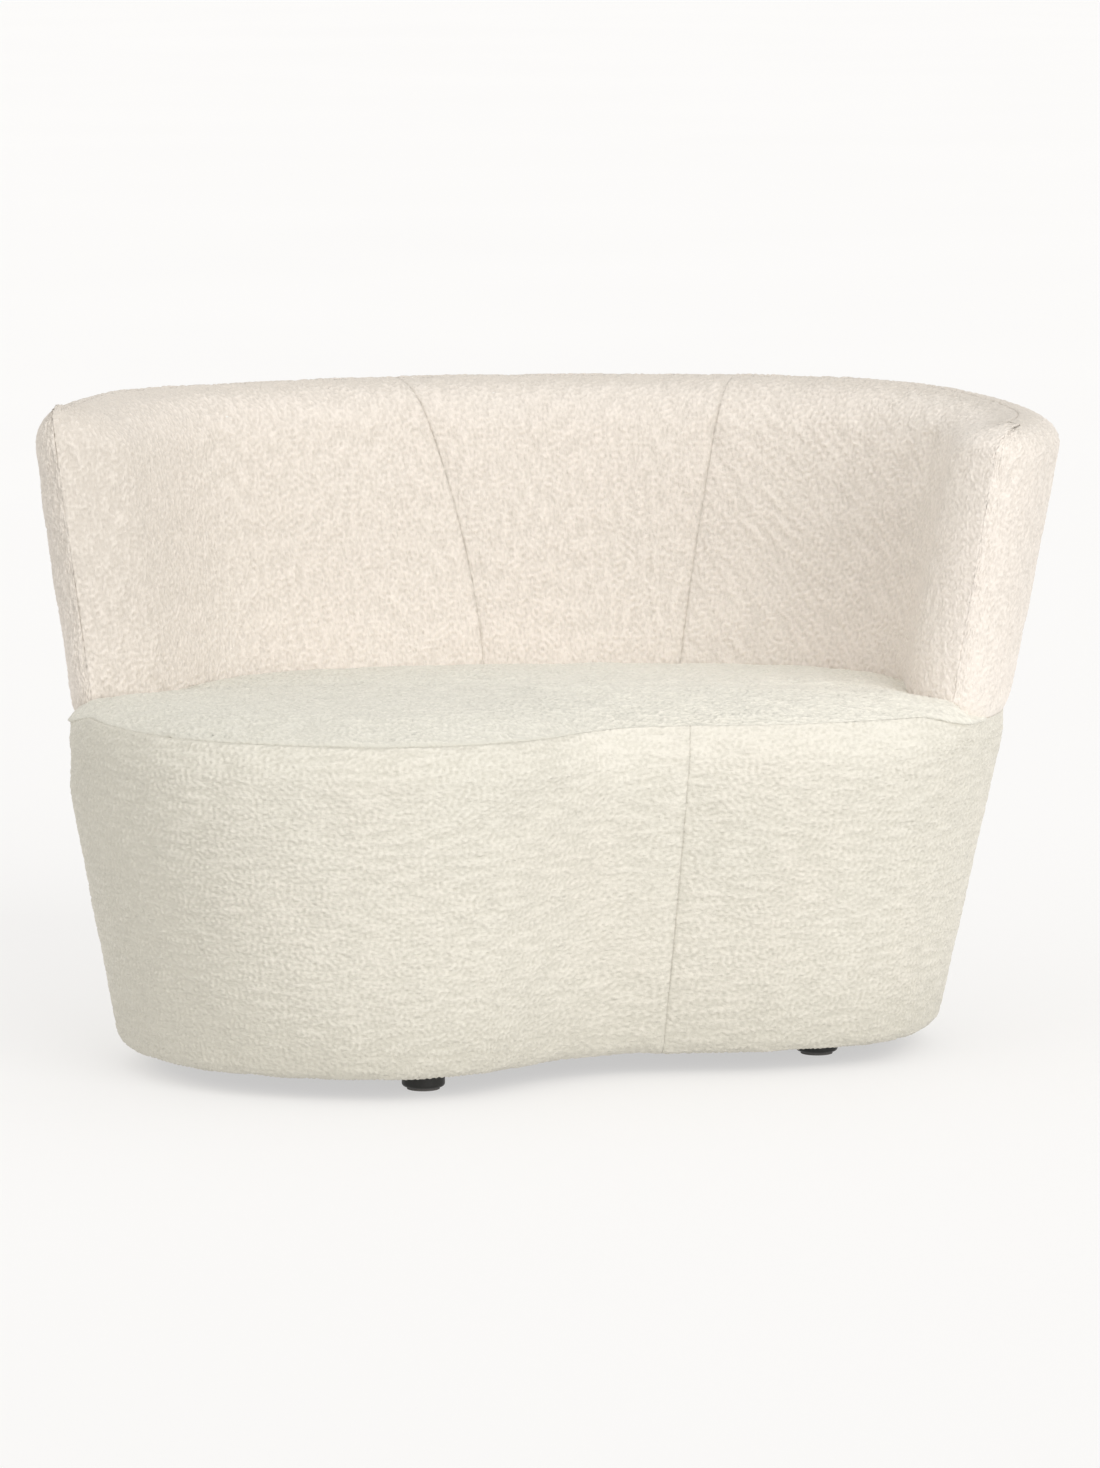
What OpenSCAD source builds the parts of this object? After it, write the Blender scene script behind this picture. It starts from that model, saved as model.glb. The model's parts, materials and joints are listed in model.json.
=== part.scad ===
// Upholstered loveseat with a kidney-shaped seat and a wrap-around backrest
// on four short round feet. Millimetres, +Z up, floor at z = 0, front at -Y.

/* [Overall] */
// Half of the base's width at its widest level
base_half_w = 546; // [480:1:640]
// Half of the base's depth at its widest level
base_half_d = 388; // [350:1:450]
// Height of the top of the backrest
rim_z = 768; // [700:1:880]
// Height of the flat top of the seat at its edge
seat_z = 437; // [425:1:470]
// How much the middle of the seat is crowned
seat_crown = 5; // [0:1:15]
// How much lower the seat lies at its rear than at its front
seat_drop = 12; // [0:1:16]

/* [Base] */
// Height of the underside of the upholstered base
bottom_z = 28; // [24:1:60]
// Height of the base's widest level
widest_z = 378; // [360:1:390]
// Height of the joint between base and backrest
deck_z = 405; // [400:1:415]
// Slope of the base's wall, degrees
draft = 10.3; // [6:0.1:13]
// Extra slope of the base's wall on the right side, degrees
right_draft = 1.7; // [0:0.1:3]
// How far the left end of the base swells out below its widest level
left_swell = 10; // [0:1:14]
// Radius of the roll at the base's bottom edge
hem_r = 12; // [6:1:20]
// Width of the rounded front shoulder of the seat, seen from above
shoulder_w = 62; // [50:1:75]
// Where round the shoulder the seat seam lies, degrees above level
seam_turn = 43; // [30:1:55]

/* [Backrest] */
// Thickness of the finished backrest
back_t = 105; // [98:1:130]
// Length of the rounded front end of each arm
nose_len = 75; // [66:1:95]
// Height of the roll along the top
roll_h = 50; // [44:1:60]
// How much lower the roll is at the tip of the right arm
right_drop = 14; // [0:1:18]
// Lean of the wall at the sides, degrees
side_lean = 9; // [5:0.1:12]
// Extra lean on the right side and less on the left, degrees
right_lean = 1.5; // [0:0.1:3]
// Extra lean at the rear, degrees
rear_lean = 3.5; // [0:0.1:6]
// Distance of the right arm's tip along the outline from its start
right_tip = 430; // [400:1:470]
// Distance of the left arm's tip along the outline from its end
left_tip = 885; // [860:1:930]

/* [Fabric and padding] */
// Thickness of the woven cover
cover_t = 3; // [2:0.5:4]
// Thickness of the wadding under the cover
wadding_t = 4.5; // [3:0.5:6]
// Thickness of the foam layer round the backrest frame
back_foam_t = 17; // [12:1:20]
// How much thicker the foam is on the sitting side, as a share of depth
foam_bias = 0.45; // [0:0.05:0.6]
// Thickness of the soft foam on top of the seat core
topper_t = 22; // [15:1:30]
// Thickness of the padding on the base wall
base_pad_t = 6.5; // [4:0.5:10]
// Clearance between neighbouring layers
clear = 0.5; // [0.3:0.1:1]

/* [Frame] */
// Thickness of the plywood boards
ply_t = 18; // [15:1:21]
// Thickness of the bent skins
skin_t = 3; // [2:0.5:5]
// Width of the curved ribs of the backrest
rib_w = 36; // [30:1:40]
// Width of the ply ring that carries the webbing
ring_w = 70; // [60:1:90]
// Height of the webbing
web_z = 330; // [300:1:340]
// Side of the square posts
post_w = 45; // [35:1:55]
// Width of a webbing strap
strap_w = 60; // [50:1:70]
// Thickness of a webbing strap
strap_t = 2; // [1.5:0.5:3]

/* [Feet] */
// Diameter of a foot
foot_d = 50; // [40:1:60]
// Radius of the rounded edge at the bottom of a foot
foot_edge_r = 4; // [2:0.5:8]
// Thickness of the felt glide
glide_t = 3; // [2:0.5:5]
// Diameter of the felt glide
glide_d = 38; // [30:1:40]
// Diameter of the foot's screw
stud_d = 8; // [6:1:10]
// Length of the foot's screw
stud_len = 34; // [30:1:36]

/* [Hidden] */

$fn = 48;
ring_cols = 56;    // columns round the base and the seat
nose_cols = 5;     // columns round each side of an arm's front end
back_cols = 30;    // columns along the backrest

// Corners of the plan outline as shares of the half width and half depth,
// anticlockwise from the middle of the front: shallow right side, round
// rear, deep left lobe.
corners = [[0.20, -0.60], [0.56, -0.52], [0.87, -0.30], [1.0, 0.18], [0.93, 0.55],
           [0.70, 0.84], [0.20, 1.0], [-0.45, 0.86], [-0.84, 0.50], [-1.0, -0.02],
           [-0.96, -0.44], [-0.74, -0.83], [-0.34, -1.0], [-0.06, -0.90]];
corner_n = len(corners);
steps = 8;         // short straight pieces between two corners
dip_len = 75;      // length over which the seat comes down to an arm's tip
drop_start = 220;  // from the right arm's tip to where its roll begins to rise,
drop_len = 270;    // and the length over which it does
tip_mid = 30;      // depth of an arm's tip behind the wall
seam_gap = 1.2;    // gap between border and seat cover at the seam, degrees
seat_slack = 1;    // extra clearance of the seat wadding under its cover
tuck = 14;         // width of the seat cover held under the backrest
press_low = 3;     // where the seat cover rises in front of the backrest, at its
press_top = 16;    // foot and at its top
pad_gap = 14;      // clearance of the seat's padding from the backrest's foot
pad_round_w = 10;  // width and height of the padding's rounded rear edge
pad_round_h = 26;
pad_turn = 10;     // where round that edge the padding begins, degrees

// ---- the plan outline: a closed centripetal spline through the corners
function corner(i) =
    let(c = corners[(i + corner_n) % corner_n]) [c.x*base_half_w, c.y*base_half_d];
function spline(i, t) =
    let(p0 = corner(i - 1), p1 = corner(i), p2 = corner(i + 1), p3 = corner(i + 2),
        d0 = sqrt(norm(p1 - p0)), d1 = sqrt(norm(p2 - p1)), d2 = sqrt(norm(p3 - p2)),
        m1 = d1*((p1 - p0)/d0 - (p2 - p0)/(d0 + d1) + (p2 - p1)/d1),
        m2 = d1*((p2 - p1)/d1 - (p3 - p1)/(d1 + d2) + (p3 - p2)/d2))
    (2*t^3 - 3*t^2 + 1)*p1 + (t^3 - 2*t^2 + t)*m1
    + (3*t^2 - 2*t^3)*p2 + (t^3 - t^2)*m2;
line = [for (i = [0:corner_n], j = [0:steps - 1])
        if (i < corner_n || j == 0) spline(i, j/steps)];
run = [for (i = 0, s = 0; i < len(line);
            s = s + (i + 1 < len(line) ? norm(line[i + 1] - line[i]) : 0), i = i + 1) s];
loop = run[len(run) - 1];
x_table = [for (i = [0:len(line) - 1]) [run[i], line[i].x]];
y_table = [for (i = [0:len(line) - 1]) [run[i], line[i].y]];

// Point of the outline at the distance s along it, and its outward normal
function wrap(s) = s - loop*floor(s/loop);
function on(s) = [lookup(wrap(s), x_table), lookup(wrap(s), y_table)];
function outward(s) = let(d = on(s + 12) - on(s - 12)) [d.y, -d.x]/norm(d);
function plan(s, off) = on(s) + off*outward(s);
function ease(x) = let(t = min(1, max(0, x))) t*t*(3 - 2*t);
function mix(a, b, t) = a + (b - a)*t;

// ---- the wall: how far it stands out from the outline at a height
swell_h = (widest_z - bottom_z - hem_r)/6;
function lean(s) = let(n = outward(s))
    side_lean + right_lean*n.x + rear_lean*max(0, n.y)^2;
function slope(s) = draft + right_draft*max(0, outward(s).x);
function swell(s, z) = left_swell*max(0, -outward(s).x)^2*min(1, (widest_z - z)/swell_h);
function wall(s, z) = z < widest_z ? (z - widest_z)*tan(slope(s)) + swell(s, z)
                                   : (z - widest_z)*tan(lean(s));

// ---- where the backrest stands on the base
tip_r = right_tip;
tip_l = loop - left_tip;
half_t = back_t/2;
roll_z = rim_z - roll_h;
// How far the base's top has come down to the backrest's joint, 0 to 1
function settle(s) = let(u = wrap(s))
    ease((u - tip_r + dip_len)/(dip_len - 2))*ease((tip_l + dip_len - u)/(dip_len - 2));
// Depth of the backrest's footprint, measured inwards from the wall
function foot(s) =
    let(u = wrap(s), x = min(1, max(0, min(u - tip_r, tip_l - u)/nose_len)))
    tip_mid + (back_t - tip_mid)*sqrt(1 - (1 - x)^2);

// Point on a nested surface of the backrest: side 1 is the outside, side -1
// the sitting side; k runs from the right tip to the left tip; t runs up the
// wall (0 to 1) and over the roll (1 to 2); e is the depth of the layer.
function inset(k, ring) =
    let(a = k < nose_cols ? 90*k/nose_cols : k > back_cols - nose_cols ? 90*(back_cols - k)/nose_cols : 90,
        far = nose_len - (nose_len - ring)*cos(a),
        s = k < nose_cols ? tip_r + far
          : k > back_cols - nose_cols ? tip_l - far
          : mix(tip_r + nose_len, tip_l - nose_len, (k - nose_cols)/(back_cols - 2*nose_cols)))
    [s, (half_t - ring)*sin(a), mix(tip_mid, half_t, sin(a))];
function shift(e) = foam_bias*max(0, e - cover_t);
// Height of the roll, which falls towards the tip of the right arm
function roll_rise(s) =
    roll_h - right_drop*(1 - ease((wrap(s) - tip_r - drop_start)/drop_len));
function back_point(side, k, t, e, z0) =
    let(turn = t > 1 ? 90*(t - 1) : 0,
        ring = e + (half_t - e)*(1 - cos(turn)),
        q = inset(k, ring),
        z = t > 1 ? roll_z + (roll_rise(q[0]) - e)*sin(turn) : mix(z0, roll_z, t),
        c = plan(q[0], wall(q[0], z) - q[2] + shift(e) + side*q[1]))
    [c.x, c.y, z];
function back_grid(side, k0, k1, ts, e, z0) =
    [for (t = ts) [for (j = [0:k1 - k0])
        back_point(side, side > 0 ? k0 + j : k1 - j, t, e, z0)]];

// ---- the base wall and its front shoulder; row runs from 0 at the hem up
shoulder_h = seat_z - widest_z;
wall_rows = [0, 0.5, 1, 6, 7, 8, 9, 10];
pad_wall_rows = [0, 0.5, 1, 6, 7];
function base_point(s, row, d) =
    let(z_low = bottom_z + hem_r*(1 - cos(90*min(row, 1))),
        z_mid = mix(bottom_z + hem_r, widest_z, (row - 1)/6),
        up = (row - 7)/3,
        turn = seam_turn*up,
        z_front = widest_z + (shoulder_h - d)*sin(turn),
        z_back = mix(widest_z, deck_z - clear, up),
        w = settle(s),
        z = row < 1 ? z_low : row <= 7 ? z_mid : mix(z_front, z_back, w),
        hem = row < 1 ? hem_r*(1 - sin(90*row)) : 0,
        out = row <= 7 ? wall(s, z) - hem - d
            : mix(-shoulder_w*(1 - cos(turn)) - d*cos(turn), wall(s, z_back) - d, w),
        c = plan(s, out))
    [c.x, c.y, z];
function column(j) = loop*j/ring_cols;
function base_grid(j0, j1, rows, d) =
    [for (r = rows) [for (j = [j0:j1]) base_point(column(j), r, d)]];

// ---- the seat cover: rounded shoulder and crowned top, pressed down to the
// joint where the backrest stands, with a tuck left under it; row m runs from
// the seam (0) over the shoulder (2) to the middle (3)
seat_mid = [-0.06*base_half_w, -0.03*base_half_d];
function seat_level(y, up) =
    seat_z + seat_crown*up - seat_drop*(y + base_half_d)/(2*base_half_d);
function cover_point(s, m, d) =
    let(w = settle(s),
        r = min(m, 2),
        turn = mix(seam_turn + seam_gap, 90, r/2),
        joint = deck_z - clear,
        open = foot(s) - wall(s, deck_z),
        press = [open - tuck, open + press_low, open + press_top][r],
        lift = [0, 0, 1][r],
        in = mix(shoulder_w*(1 - cos(turn)) + d*cos(turn), press + (r > 1 ? d : 0), w),
        g = max(0, m - 2),
        c = plan(s, -in),
        p = mix(c, seat_mid, g),
        top = seat_level(p.y, 1 - (1 - g)^2),
        z = mix(top - shoulder_h + (shoulder_h - d)*sin(turn), mix(joint, top, lift) - d, w))
    [p.x, p.y, z];
function cover_grid(ms, d) = [for (m = ms) [for (j = [0:ring_cols - 1]) cover_point(column(j), m, d)]];
cover_rows = [0, 1, 2, 2.3, 2.65];

// ---- the seat's padding: the same top, ending in front of the backrest
function pad_point(s, m, d) =
    let(w = settle(s),
        in = w*(foot(s) - wall(s, deck_z) + pad_gap),
        a = mix(shoulder_w, pad_round_w, w),
        b = mix(shoulder_h, pad_round_h, w),
        turn = mix(pad_turn*w, 90, min(m, 1)),
        c = plan(s, -in - a*(1 - cos(turn)) - d*cos(turn)),
        g = max(0, m - 1),
        p = mix(c, seat_mid, g),
        z = seat_level(p.y, 1 - (1 - g)^2) - b + (b - d)*sin(turn))
    [p.x, p.y, z];
function pad_grid(ms, d) = [for (m = ms) [for (j = [0:ring_cols - 1]) pad_point(column(j), m, d)]];
pad_rows = [6/90, seam_turn/3/90, seam_turn/1.5/90, seam_turn/90,
            (seam_turn + 90)/180, 1, 1.3, 1.65];

// ---- solids from grids
function flat(rows) = [for (r = rows) each r];

// Closed sheet between the outer grid A and the inner grid B
module sheet(A, B, closed = false) {
    nu = len(A[0]);
    nv = len(A);
    m = nv - 1;
    last = closed ? nu - 1 : nu - 2;
    function a(i, j) = i*nu + j % nu;
    function b(i, j) = (nv + i)*nu + j % nu;
    faces = [
        for (i = [0:nv - 2], j = [0:last]) each [
            [a(i, j), a(i + 1, j), a(i + 1, j + 1)], [a(i, j), a(i + 1, j + 1), a(i, j + 1)],
            [b(i, j), b(i + 1, j + 1), b(i + 1, j)], [b(i, j), b(i, j + 1), b(i + 1, j + 1)]],
        for (j = [0:last]) each [
            [a(0, j), a(0, j + 1), b(0, j + 1)], [a(0, j), b(0, j + 1), b(0, j)],
            [a(m, j + 1), a(m, j), b(m, j)], [a(m, j + 1), b(m, j), b(m, j + 1)]],
        if (!closed) for (i = [0:nv - 2]) each [
            [a(i + 1, 0), a(i, 0), b(i, 0)], [a(i + 1, 0), b(i, 0), b(i + 1, 0)],
            [a(i, nu - 1), a(i + 1, nu - 1), b(i + 1, nu - 1)],
            [a(i, nu - 1), b(i + 1, nu - 1), b(i, nu - 1)]]];
    polyhedron(concat(flat(A), flat(B)), faces);
}

// Closed dome between the rings of A and of B, with a top point for each;
// B may be a single ring, which is then filled to its own middle point
module dome(A, B, top_a, top_b) {
    nu = len(A[0]);
    ma = len(A) - 1;
    mb = len(B) - 1;
    start = len(A)*nu;
    ta = start + len(B)*nu;
    function a(i, j) = i*nu + j % nu;
    function b(i, j) = start + i*nu + j % nu;
    faces = [
        for (j = [0:nu - 1]) each [
            for (i = [0:1:ma - 1]) each [[a(i, j), a(i + 1, j), a(i + 1, j + 1)],
                                         [a(i, j), a(i + 1, j + 1), a(i, j + 1)]],
            for (i = [0:1:mb - 1]) each [[b(i, j), b(i + 1, j + 1), b(i + 1, j)],
                                         [b(i, j), b(i, j + 1), b(i + 1, j + 1)]],
            [a(ma, j), ta, a(ma, j + 1)],
            [b(mb, j), b(mb, j + 1), ta + 1],
            [a(0, j), a(0, j + 1), b(0, j + 1)],
            [a(0, j), b(0, j + 1), b(0, j)]]];
    polyhedron(concat(flat(A), flat(B), [top_a, top_b]), faces);
}

// ---- the whole object is centred on the middle of its box
rim = flat([for (k = [0:back_cols]) [back_point(1, k, 1, 0, deck_z), back_point(-1, k, 1, 0, deck_z)]]);
plan_all = concat([for (p = rim) [p.x, p.y]], [for (j = [0:ring_cols - 1]) on(column(j))]);
xs = [for (p = plan_all) p.x];
ys = [for (p = plan_all) p.y];
centre = [(min(xs) + max(xs))/2, (min(ys) + max(ys))/2, 0];
module placed() { translate(-centre) children(); }

// ---- depths of the layers, measured in from the outer surface
pad_d = cover_t + clear;
skin_d = pad_d + base_pad_t + clear;
inner_d = skin_d + skin_t + clear;
back_wad_d = cover_t + clear;
back_foam_d = back_wad_d + wadding_t + clear;
back_skin_d = back_foam_d + back_foam_t + clear;
back_core_d = back_skin_d + skin_t + clear;

// ---- heights
board_z = bottom_z + 2;
board_top = board_z + ply_t;
ring_z = web_z - ply_t;
deck_top = deck_z - clear - cover_t - clear;
rib_z = deck_z + clear;
top_rib_z = roll_z - ply_t;
mid_rib_z = (rib_z + top_rib_z)/2;
core_z = web_z + 2*strap_t + 2;

// Feet: places in the plan, front left, front right, back left, back right
feet = [[-136, -224], [326, -2], [-380, 102], [210, 262]];
tnut_d = 10.2;
tnut_len = 12;
dust_t = 1.5;
flange_d = 24;
flange_t = 1.5;

// Flat board with its outer edge a given depth inside the wall at height z
module board(z, thick, depth) {
    edge = [for (j = [0:ring_cols - 1]) plan(column(j), wall(column(j), z) - depth)];
    translate([0, 0, z]) linear_extrude(thick) polygon(edge);
}

module at_feet() { for (p = feet) translate([p.x, p.y, 0]) children(); }

// ---- feet
module foot(i) {
    r = foot_d/2;
    high = board_z - glide_t;
    corner = [for (a = [0:15:90]) [r - foot_edge_r + foot_edge_r*sin(a),
                                   foot_edge_r - foot_edge_r*cos(a)]];
    color("#1c1a19") placed() translate([feet[i].x, feet[i].y, glide_t]) difference() {
        rotate_extrude($fn = 64) polygon(concat([[0, 0]], corner, [[r, high], [0, high]]));
        translate([0, 0, high - stud_len/2 + 2]) cylinder(d = stud_d, h = stud_len);
    }
}
module foot_glides() {
    color("#6d6a66") placed() at_feet() cylinder(d = glide_d, h = glide_t);
}
module foot_studs() {
    color("silver") placed() at_feet()
        translate([0, 0, board_z - stud_len/2 + 2]) cylinder(d = stud_d, h = stud_len - 2);
}
module foot_tnuts() {
    color("silver") placed() at_feet() difference() {
        union() {
            translate([0, 0, board_top - tnut_len]) cylinder(d = tnut_d, h = tnut_len + 0.1);
            translate([0, 0, board_top]) cylinder(d = flange_d, h = flange_t);
        }
        translate([0, 0, board_z]) cylinder(d = stud_d, h = 2*ply_t);
    }
}
module foot_front_left() { foot(0); }
module foot_front_right() { foot(1); }
module foot_back_left() { foot(2); }
module foot_back_right() { foot(3); }

// ---- base frame
module dust_cover() {
    color("#3a3836") placed() difference() {
        board(bottom_z, dust_t, hem_r + inner_d + 2);
        at_feet() translate([0, 0, bottom_z - 1]) cylinder(d = foot_d + 2, h = 4);
    }
}
module bottom_board() {
    color("burlywood") placed() difference() {
        board(board_z, ply_t, inner_d + hem_r);
        at_feet() translate([0, 0, board_z - 1]) cylinder(d = tnut_d, h = ply_t + 2);
    }
}
// Runs its children at a place s along the outline, a given depth inside the
// wall at height z, turned to face outwards
module facing(s, z, depth) {
    c = plan(s, wall(s, z) - depth);
    n = outward(s);
    translate([c.x, c.y, z]) rotate([0, 0, atan2(n.y, n.x)]) children();
}
post_n = 8;
post_start = 0.4;  // place of the first post, as a share of their spacing
post_gap = 4;
module base_posts() {
    color("tan") placed() for (i = [0:post_n - 1])
        facing((i + post_start)*loop/post_n, board_top, inner_d + hem_r + post_gap + post_w/2)
            translate([-post_w/2, -post_w/2, 0]) cube([post_w, post_w, ring_z - board_top]);
}
module webbing_ring() {
    color("burlywood") placed() difference() {
        board(ring_z, ply_t, inner_d);
        translate([0, 0, -1]) board(ring_z, ply_t + 2, inner_d + ring_w);
    }
}
// Area that the straps cover with their ends on the ring, as a thin slab
strap_bearing = 25;
module strap_area(z) {
    edge = [for (j = [0:ring_cols - 1])
        plan(column(j), wall(column(j), ring_z) - inner_d - ring_w + strap_bearing)];
    translate([0, 0, z]) linear_extrude(strap_t) polygon(edge);
}
long_n = 8;
long_edge = 110;   // from the base's side to the middle of the first strap
module webbing_long() {
    pitch = 2*(base_half_w - long_edge)/(long_n - 1);
    color("#4c4a48") placed() intersection() {
        strap_area(web_z);
        for (i = [0:long_n - 1])
            translate([-base_half_w + long_edge + i*pitch - strap_w/2, -base_half_d, web_z - 1])
                cube([strap_w, 2*base_half_d, 4*strap_t]);
    }
}
cross_n = 4;
cross_front = 190; // from the front and from the rear to the nearest strap's middle
cross_rear = 150;
strap_gap = 0.2;
module webbing_cross() {
    pitch = (2*base_half_d - cross_front - cross_rear)/(cross_n - 1);
    color("#5a5856") placed() intersection() {
        strap_area(web_z + strap_t + strap_gap);
        for (i = [0:cross_n - 1])
            translate([-base_half_w, -base_half_d + cross_front + i*pitch - strap_w/2, web_z])
                cube([2*base_half_w, strap_w, 6*strap_t]);
    }
}
block_n = 9;
block_t = 34;
block_w = 60;
block_gap = 3;
block_s0 = tip_r + nose_len + 20;
block_s1 = tip_l - nose_len - 20;
module deck_blocks() {
    color("tan") placed() for (i = [0:block_n - 1])
        facing(mix(block_s0, block_s1, i/(block_n - 1)),
               web_z, inner_d + block_gap + block_t/2)
            translate([-block_t/2, -block_w/2, 0]) cube([block_t, block_w, deck_top - ply_t - web_z]);
}
deck_cols = 24;
deck_end = 60;     // from an arm's tip to the end of the deck ring
deck_in = 4;       // how far its inner edge stays behind the backrest's foot
module deck_ring() {
    at_s = [for (i = [0:deck_cols]) mix(tip_r + deck_end, tip_l - deck_end, i/deck_cols)];
    outer = [for (s = at_s) plan(s, -inner_d)];
    inner = [for (i = [deck_cols:-1:0])
        plan(at_s[i], wall(at_s[i], deck_z) - back_t + deck_in)];
    color("burlywood") placed() difference() {
        translate([0, 0, deck_top - ply_t]) linear_extrude(ply_t) polygon(concat(outer, inner));
        bolt_places() translate([0, 0, deck_top - ply_t - 1]) cylinder(d = bolt_hole, h = ply_t + 2);
    }
}

// ---- base skin, padding and covers
module base_skin() {
    color("#b9a27c") placed()
        sheet(ring_of(pad_wall_rows, skin_d), ring_of(pad_wall_rows, skin_d + skin_t), closed = true);
}
function ring_of(rows, d) =
    [for (r = rows) [for (j = [0:ring_cols - 1]) base_point(column(j), r, d)]];
module base_padding() {
    color("#efe9dc") placed()
        sheet(ring_of(pad_wall_rows, pad_d), ring_of(pad_wall_rows, pad_d + base_pad_t), closed = true);
}
// The border of the base is sewn from three panels, split at these columns
seam_front = 1;
seam_right = 12;
seam_left = 37;
module border(j0, j1) {
    placed() sheet(base_grid(j0, j1, wall_rows, 0), base_grid(j0, j1, wall_rows, cover_t));
}
module base_cover_front_left() { color("#eee6d6") border(seam_left, ring_cols + seam_front); }
module base_cover_front_right() { color("#ece4d4") border(seam_front, seam_right); }
module base_cover_back() { color("#e9e1d1") border(seam_right, seam_left); }

// ---- seat
function low_ring(z, d) = [for (j = [0:ring_cols - 1])
    let(p = pad_point(column(j), 0, d)) [p.x, p.y, z]];
function pad_top(d) = [seat_mid.x, seat_mid.y, seat_level(seat_mid.y, 1) - d];
seat_wad_d = cover_t + clear + seat_slack;
topper_d = seat_wad_d + wadding_t + clear;
core_d = topper_d + topper_t + clear;
module seat_core() {
    color("#e8d9a8") placed()
        dome(concat([low_ring(core_z, core_d)], pad_grid(pad_rows, core_d)),
             [low_ring(core_z, core_d + 1)], pad_top(core_d), [seat_mid.x, seat_mid.y, core_z]);
}
module seat_topper() {
    color("#f3e7bd") placed()
        dome(pad_grid(pad_rows, topper_d), pad_grid(pad_rows, topper_d + topper_t),
             pad_top(topper_d), pad_top(topper_d + topper_t));
}
module seat_wadding() {
    d = seat_wad_d;
    color("#f7f5ef") placed()
        dome(pad_grid(pad_rows, d), pad_grid(pad_rows, d + wadding_t),
             pad_top(d), pad_top(d + wadding_t));
}
module seat_cover() {
    color("#e6e2d4") placed()
        dome(cover_grid(cover_rows, 0), cover_grid(cover_rows, cover_t), pad_top(0), pad_top(cover_t));
}

// ---- backrest frame
// Curved rib: a flat board that follows the backrest at the height z
module rib(z, ends) {
    rib_cols = 24;
    at_s = [for (i = [0:rib_cols]) mix(tip_r + ends, tip_l - ends, i/rib_cols)];
    function edge(s, side) =
        plan(s, wall(s, z + ply_t/2) - half_t + shift(back_core_d) + side*rib_w/2);
    edge_out = [for (s = at_s) edge(s, 1)];
    edge_in = [for (i = [rib_cols:-1:0]) edge(at_s[i], -1)];
    translate([0, 0, z]) linear_extrude(ply_t) polygon(concat(edge_out, edge_in));
}
rib_end = nose_len + 5;
upright_end = rib_end + 12;
bolt_n = block_n - 1;
bolt_hole = 9;
bolt_d = 8;
bolt_head_d = 13;
washer_d = 20;
module bolt_places() {
    for (i = [0:bolt_n - 1]) {
        s = mix(block_s0, block_s1, (i + 0.5)/bolt_n);
        c = plan(s, wall(s, rib_z + ply_t/2) - half_t + shift(back_core_d));
        translate([c.x, c.y, 0]) children();
    }
}
module back_bottom_rib() {
    color("burlywood") placed() difference() {
        rib(rib_z, rib_end);
        bolt_places() translate([0, 0, rib_z - 1]) cylinder(d = tnut_d, h = ply_t + 2);
    }
}
module back_mid_rib() { color("burlywood") placed() rib(mid_rib_z, rib_end); }
module back_top_rib() { color("burlywood") placed() rib(top_rib_z, rib_end); }

// Upright: a leaning board between two ribs
function upright_corner(s, z, a, b) =
    let(c = plan(s, wall(s, z) - half_t + shift(back_core_d) + b*rib_w/2), n = outward(s))
    [c.x - a*n.y*ply_t/2, c.y + a*n.x*ply_t/2, z];
module upright(s, z0, z1) {
    ring = [[-1, -1], [1, -1], [1, 1], [-1, 1]];
    points = [for (z = [z0, z1]) for (q = ring) upright_corner(s, z, q[0], q[1])];
    faces = [[0, 1, 2], [0, 2, 3], [4, 6, 5], [4, 7, 6],
             for (i = [0:3]) let(j = (i + 1) % 4) each [[i, i + 4, j + 4], [i, j + 4, j]]];
    polyhedron(points, faces);
}
upright_n = 9;
module uprights(z0, z1) {
    for (i = [0:upright_n - 1])
        upright(mix(tip_r + upright_end, tip_l - upright_end, i/(upright_n - 1)), z0, z1);
}
module back_lower_uprights() {
    color("tan") placed() uprights(rib_z + ply_t + flange_t + clear, mid_rib_z);
}
module back_upper_uprights() { color("tan") placed() uprights(mid_rib_z + ply_t, top_rib_z); }

// ---- backrest layers; k0 and k1 are columns, ts are the rows up the wall
wall_ts = [0, 0.5, 1];
roll_ts = [1, 1.25, 1.5, 1.75, 1.98];
all_ts = [0, 0.5, 1, 1.25, 1.5, 1.75, 1.98];
module layer(side, k0, k1, ts, e, thick, z0) {
    sheet(back_grid(side, k0, k1, ts, e, z0), back_grid(side, k0, k1, ts, e + thick, z0));
}
module back_skin_inner() {
    color("#b9a27c") placed()
        layer(-1, nose_cols, back_cols - nose_cols, wall_ts, back_skin_d, skin_t, rib_z);
}
module back_skin_outer() {
    color("#b9a27c") placed()
        layer(1, nose_cols, back_cols - nose_cols, wall_ts, back_skin_d, skin_t, rib_z);
}
module back_foam_inner() {
    color("#f3e7bd") placed() layer(-1, 1, back_cols - 1, wall_ts, back_foam_d, back_foam_t, rib_z);
}
module back_foam_outer() {
    color("#efe3b8") placed() layer(1, 1, back_cols - 1, wall_ts, back_foam_d, back_foam_t, rib_z);
}
// Foam carried over the top, from the outer wall to the sitting side
function over_top(e) =
    [for (t = roll_ts) [for (k = [1:back_cols - 1]) back_point(1, k, t, e, rib_z)],
     for (i = [len(roll_ts) - 1:-1:0])
         [for (k = [1:back_cols - 1]) back_point(-1, k, roll_ts[i], e, rib_z)]];
module back_top_roll() {
    color("#e8d9a8") placed() sheet(over_top(back_foam_d), over_top(back_foam_d + back_foam_t));
}
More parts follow.
